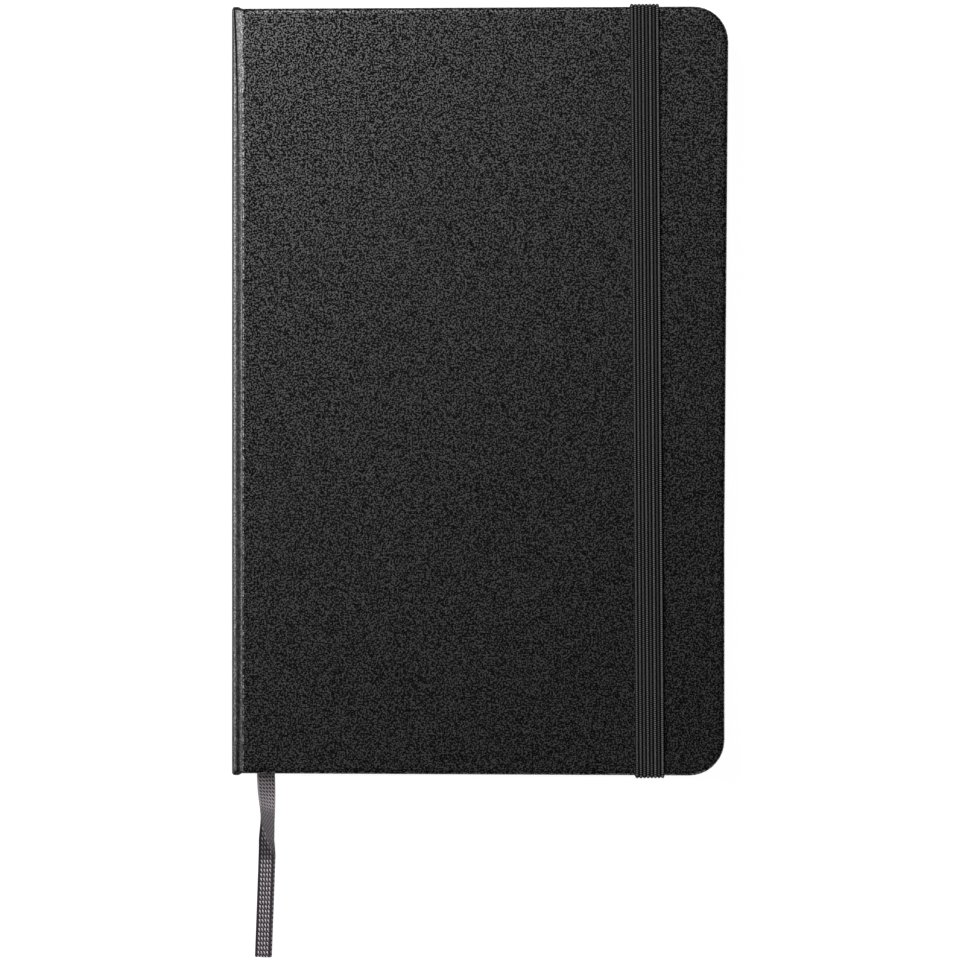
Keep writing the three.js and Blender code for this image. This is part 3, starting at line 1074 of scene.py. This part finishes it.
# The elastic's middle line, from one hidden tab round head, front and tail to the other.
def elasticPath():
    half = elastic["thickness"] / 2
    y1 = bandHigh.y - half
    z1 = bandHigh.z - half
    z0 = half + elastic["floorGap"]
    tabZ = elastic["tabZ"]
    mostTurn = elastic["mostTurn"]
    corners = [(elastic["slitY"] - elastic["tabLength"], tabZ), (elastic["slitY"], tabZ)]
    corners += [(elastic["slitY"], z0), (y1, z0), (y1, z1)]
    corners += [(-y, z) for y, z in reversed(corners)]
    path = [Vector(corners[0])]
    for before, corner, after in zip(corners, corners[1:], corners[2:]):
        corner = Vector(corner)
        back = (Vector(before) - corner).normalized()
        forth = (Vector(after) - corner).normalized()
        radius = min(elastic["cornerRadius"], mostTurn * (Vector(before) - corner).length)
        radius = min(radius, mostTurn * (Vector(after) - corner).length)
        centre = corner + (back + forth) * radius
        for step in range(elastic["cornerSteps"] + 1):
            angle = math.pi / 2 * step / elastic["cornerSteps"]
            path.append(centre - forth * radius * math.cos(angle) - back * radius * math.sin(angle))
    path.append(Vector(corners[-1]))
    dense = [path[0]]
    for start, end in zip(path, path[1:]):
        steps = max(1, round((end - start).length / elastic["pitch"]))
        dense += [start.lerp(end, step / steps) for step in range(1, steps + 1)]
    return [(bandX(y), y, z) for y, z in dense]


def bandTree():
    inputs = {
        "Path": "NodeSocketGeometry",
        "Ribs": "NodeSocketInt",
        "Pitch": "NodeSocketFloat",
        "Overlap": "NodeSocketFloat",
        "Thickness": "NodeSocketFloat",
        "Web": "NodeSocketFloat",
        "Knit": "NodeSocketMaterial",
    }
    graph, given = geometryTree("ribbedBand", inputs)
    length = graph.add("GeometryNodeSplineParameter", output="Length")
    path = graph.store(given["Path"], "along", length)
    first = graph.vector(X=(given["Ribs"] - 1) * given["Pitch"] * -0.5)
    line = graph.line(given["Ribs"], first, graph.vector(X=given["Pitch"]))
    circle = graph.add("GeometryNodeCurvePrimitiveCircle", None, {"Resolution": 12, "Radius": 0.5})
    place = graph.add("GeometryNodeInputPosition")
    height = graph.add("ShaderNodeSeparateXYZ", None, [place], 1).size()
    # the height on each rib's round, where the knit's material puts its painted highlight
    circle = graph.store(circle, "crest", height)
    size = graph.vector(X=given["Pitch"] * given["Overlap"], Y=given["Thickness"], Z=1)
    sockets = {"Points": line, "Instance": circle, "Scale": size}
    ribs = graph.add("GeometryNodeInstanceOnPoints", None, sockets)
    index = graph.add("GeometryNodeInputIndex")
    ribs = graph.store(ribs, "rib", index, "INSTANCE")
    ribs = graph.add("GeometryNodeRealizeInstances", None, {"Geometry": ribs})
    # The web reaches into the outer ribs.
    sockets = {"Width": given["Pitch"] * (given["Ribs"] - 0.6), "Height": given["Web"]}
    web = graph.add("GeometryNodeCurvePrimitiveQuadrilateral", None, sockets)
    section = graph.add("GeometryNodeJoinGeometry")
    for part in (web, ribs):
        graph.tree.links.new(part.socket, section.socket.node.inputs[0])
    sockets = {"Curve": path, "Profile Curve": section, "Fill Caps": True}
    band = graph.add("GeometryNodeCurveToMesh", None, sockets)
    return graph.finishGeometry(band, given["Knit"])


def makeElastic():
    knit = elasticMaterial()
    data = bpy.data.curves.new("bandPath", "CURVE")
    data.dimensions = "3D"
    points = elasticPath()
    spline = data.splines.new("POLY")
    spline.points.add(len(points) - 1)
    for point, place in zip(spline.points, points):
        point.co = (*(Vector(place) * mm), 1)
    host = linkObject("bandPath", data)
    values = {
        "Ribs": elastic["ribs"],
        "Pitch": elastic["width"] / elastic["ribs"] * mm,
        "Overlap": elastic["overlap"],
        "Thickness": elastic["thickness"] * mm,
        "Web": elastic["webThickness"] * mm,
        "Knit": knit,
    }
    useTree(host, bandTree(), values)
    band = outward(sharpened(baked("elastic_band_ribbed", host), 50))
    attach(band, "elastic")
    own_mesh(band)
    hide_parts("elastic_closure")
    print("elastic made")


makeElastic()


def insideColours(pale, dark, roughness):
    return {"pale": (*pale, 1), "dark": (*dark, 1), "roughness": roughness}


insideLook = {
    "gauze": {"pitch": 0.9, **insideColours((0.78, 0.74, 0.64), (0.3, 0.27, 0.2), 0.9)},
    "cloth": {"pitch": 0.35, **insideColours((0.42, 0.4, 0.36), (0.2, 0.19, 0.17), 0.85)},
    "thread": {"twist": 6, **insideColours((0.85, 0.83, 0.77), (0.5, 0.48, 0.42), 0.6)},
    "endpaper": insideColours((0.84, 0.8, 0.69), (0.72, 0.67, 0.55), 0.8),
}


def clothMaterial(name, look):
    m = Material(name)
    x, y, z = m.axes(m.place())
    turn = 2 * math.pi / look["pitch"]
    weave = (y * turn).sine() * ((x + z) * turn).sine()
    return m.finishPlain(weave.step(-0.5, 0.5), look, m.bump(weave, 0.08, 0.7))


def threadMaterial(look):
    m = Material("waxedThread")
    x, y, z = m.axes(m.place())
    twist = ((z * 2 + x + y) * look["twist"]).sine()
    return m.finishPlain(twist.step(-0.6, 0.6), look, m.bump(twist, 0.04, 0.7))


def endpaperMaterial(look):
    m = Material("endpaper")
    fibres = m.noise(m.place(), 1.2, 5, 0.7)
    return m.finishPlain(fibres.step(0.3, 0.7), look, m.bump(fibres, 0.03, 0.5))


def paintNode(name, material):
    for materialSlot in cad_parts[name].material_slots:
        materialSlot.material = material


gusset = {"layers": 3, "thickness": 0.045}


# A strip of cloth folded in layers under the pocket's edge.
def gussetPiece(node, material):
    low, high = boxOf(node)
    gap = (high.z - low.z - gusset["thickness"]) / (gusset["layers"] - 1)
    path = []
    for layer in range(gusset["layers"]):
        z = low.z + gusset["thickness"] / 2 + gap * layer
        ends = (low.y + gap, high.y - gap)
        ends = ends if layer % 2 == 0 else ends[::-1]
        path += [(ends[0], z), (lerp(*ends, 0.5), z), (ends[1], z)]
        if layer < gusset["layers"] - 1:
            out = gap / 2 if layer % 2 == 0 else -gap / 2
            path.append((ends[1] + out, z + gap / 2))
    points = []
    for outside, inside in sidesOf(path, gusset["thickness"]):
        points += [(low.x, *outside), (high.x, *outside), (high.x, *inside), (low.x, *inside)]
    return outward(meshPiece(node + "_cloth", points, stripFaces(0, len(path)), material))


def makeInside():
    cloth = clothMaterial("pocketCloth", insideLook["cloth"])
    paintNode("spine_lining", clothMaterial("spineGauze", insideLook["gauze"]))
    paintNode("spine_card", boardMaterial())
    endpaper = endpaperMaterial(insideLook["endpaper"])
    for name in ("front_endpaper", "rear_endpaper", "pocket_panel"):
        paintNode(name, endpaper)
    thread = threadMaterial(insideLook["thread"])
    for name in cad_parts:
        if name.startswith("sewing_thread"):
            paintNode(name, thread)
    for end in ("head", "tail"):
        node = "pocket_gusset_" + end
        piece = gussetPiece(node, cloth)
        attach(piece, "back_half")
        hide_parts(node)
    print("inside made")


makeInside()


studio = {
    "floor": 6000,
    "floorZ": -0.02,
    "rim": 500,  # the floor turns up at its far edges, so that it fills low views too
    "floorShade": (0.2, 0.2, 0.2, 1),
    "floorGlow": 0.97,
    "world": 0.01,
}
lights = {
    "keyLight": {"place": (-175, 260, 560), "aim": (0, 0, 0), "size": (150, 150), "power": 3},
    "sideLight": {"place": (-600, 60, 500), "aim": (-40, 0, 10), "size": (200, 600), "power": 4},
    "fillLight": {"place": (200, -750, 300), "aim": (0, -60, 0), "size": (500, 500), "power": 0.6},
}


def floorMaterial():
    m = Material("paleFloor")
    sockets = {
        "Base Color": studio["floorShade"],
        "Roughness": 0.9,
        "Specular IOR Level": 0,
        "Emission Color": (1, 1, 1, 1),
        "Emission Strength": studio["floorGlow"],
    }
    return m.finish(sockets)


def makeFloor():
    half = studio["floor"] / 2
    corners = [(-half, -half), (half, -half), (half, half), (-half, half)]
    points = [(x, y, z) for z in (studio["floorZ"], studio["rim"]) for x, y in corners]
    faces = [(0, 1, 2, 3), (0, 4, 5, 1), (1, 5, 6, 2), (2, 6, 7, 3), (3, 7, 4, 0)]
    meshPiece("floor", points, faces, floorMaterial())


def makeLight():
    for name, look in lights.items():
        data = bpy.data.lights.new(name, "AREA")
        data.shape = "RECTANGLE"
        data.size = look["size"][0] * mm
        data.size_y = look["size"][1] * mm
        data.energy = look["power"]
        light = linkObject(name, data)
        place = Vector(look["place"])
        light.location = place * mm
        light.rotation_euler = (Vector(look["aim"]) - place).to_track_quat("-Z", "Y").to_euler()
    world = bpy.data.worlds.new("studio")
    world.use_nodes = True
    background = world.node_tree.nodes["Background"]
    background.inputs["Color"].default_value = (1, 1, 1, 1)
    background.inputs["Strength"].default_value = studio["world"]
    bpy.context.scene.world = world
    bpy.context.scene.view_settings.view_transform = "Standard"


makeFloor()
makeLight()
print("floor and light made")
